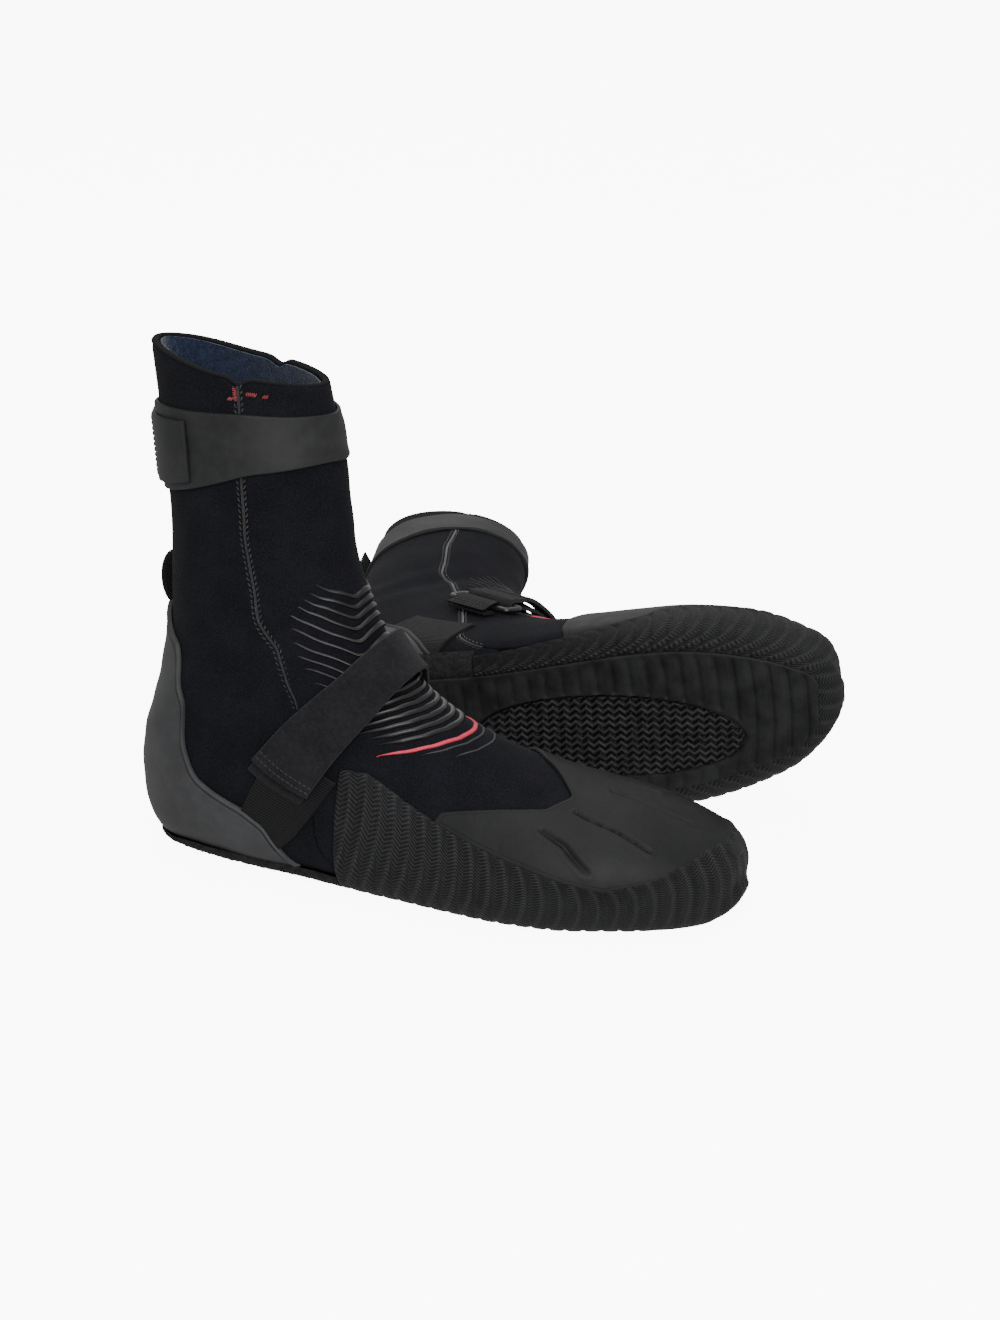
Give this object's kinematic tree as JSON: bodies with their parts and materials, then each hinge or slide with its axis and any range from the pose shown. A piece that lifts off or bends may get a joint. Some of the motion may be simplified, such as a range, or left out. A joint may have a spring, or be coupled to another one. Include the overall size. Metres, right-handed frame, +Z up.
{
  "type": "neoprene boots",
  "caption": "Pair of ankle-high neoprene water boots, one upright and one on its side, with rubber soles, an instep strap through a ring, and a cuff band.",
  "frame": {"origin": "on the flat underside of the upright right boot's sole, below the ankle", "axes": "+X towards the toes of the upright boot, +Y towards its inner side and the lying boot, +Z up the cuff"},
  "size_m": [0.3282, 0.3681, 0.2526],
  "materials": {
    "moulded_rubber": "ribbed matt",
    "smooth_rubber": "smooth satin",
    "neoprene": "brushed knit",
    "plush": "plush",
    "printed_rubber": "glossy",
    "red_print": "satin",
    "seam_tape": "stitched",
    "red_thread": "thread",
    "webbing": "ribbed weave",
    "black_plastic": "moulded",
    "strap": "fuzzy loop",
    "hook": "hook tape",
    "band_skin": "smooth satin"
  },
  "bodies": {
    "boots": {"left_bar_tack": "red_thread", "left_chevron_trim": "red_print", "left_cinch_band": "band_skin", "left_footbed": "neoprene", "left_forefoot_tread": "moulded_rubber", "left_heel_counter": "smooth_rubber", "left_instep_panel": "neoprene", "left_lateral_seam": "seam_tape", "left_lateral_webbing": "webbing", "left_lining": "plush", "left_lower_flex_pad": "printed_rubber", "left_medial_seam": "seam_tape", "left_medial_webbing": "webbing", "left_medial_webbing_loop": "webbing", "left_pull_loop": "webbing", "left_quarter_panel": "neoprene", "left_ring": "black_plastic", "left_sole": "moulded_rubber", "left_strap_base": "strap", "left_strap_fold": "strap", "left_toe_cap": "smooth_rubber", "left_upper_flex_pad": "printed_rubber", "right_bar_tack": "red_thread", "right_chevron_trim": "red_print", "right_cinch_band": "band_skin", "right_footbed": "neoprene", "right_forefoot_tread": "moulded_rubber", "right_heel_counter": "smooth_rubber", "right_instep_panel": "neoprene", "right_lateral_seam": "seam_tape", "right_lateral_webbing": "webbing", "right_lining": "plush", "right_lower_flex_pad": "printed_rubber", "right_medial_seam": "seam_tape", "right_medial_webbing": "webbing", "right_medial_webbing_loop": "webbing", "right_pull_loop": "webbing", "right_quarter_panel": "neoprene", "right_ring": "black_plastic", "right_sole": "moulded_rubber", "right_strap_base": "strap", "right_strap_fold": "strap", "right_toe_cap": "smooth_rubber", "right_upper_flex_pad": "printed_rubber"},
    "right_strap_end": {"right_strap_flap": "strap", "right_strap_hook_patch": "hook"},
    "right_cuff_tab": {"right_cinch_tab": "band_skin", "right_cinch_hook_patch": "hook"},
    "left_strap_end": {"left_strap_flap": "strap", "left_strap_hook_patch": "hook"},
    "left_cuff_tab": {"left_cinch_tab": "band_skin", "left_cinch_hook_patch": "hook"}
  },
  "joints": [
    {"name": "right_strap_hinge", "type": "hinge", "parent": "boots", "child": "right_strap_end", "pos_m": [0.01104, 0.03528, 0.08622], "axis": [-0.8606, 0.009, 0.5092], "range_deg": [0, 105]},
    {"name": "right_cuff_tab_hinge", "type": "hinge", "parent": "boots", "child": "right_cuff_tab", "pos_m": [-0.06759, -0.03015, 0.20584], "axis": [-0.0872, 0.0646, 0.9941], "range_deg": [0, 100]},
    {"name": "left_strap_hinge", "type": "hinge", "parent": "boots", "child": "left_strap_end", "pos_m": [0.01353, 0.16643, 0.08788], "axis": [0.9393, -0.3431, 0.0083], "range_deg": [0, 7]},
    {"name": "left_cuff_tab_hinge", "type": "hinge", "parent": "boots", "child": "left_cuff_tab", "pos_m": [-0.08262, 0.27477, 0.02631], "axis": [0.2724, -0.9535, -0.129], "range_deg": [0, 60]}
  ]
}
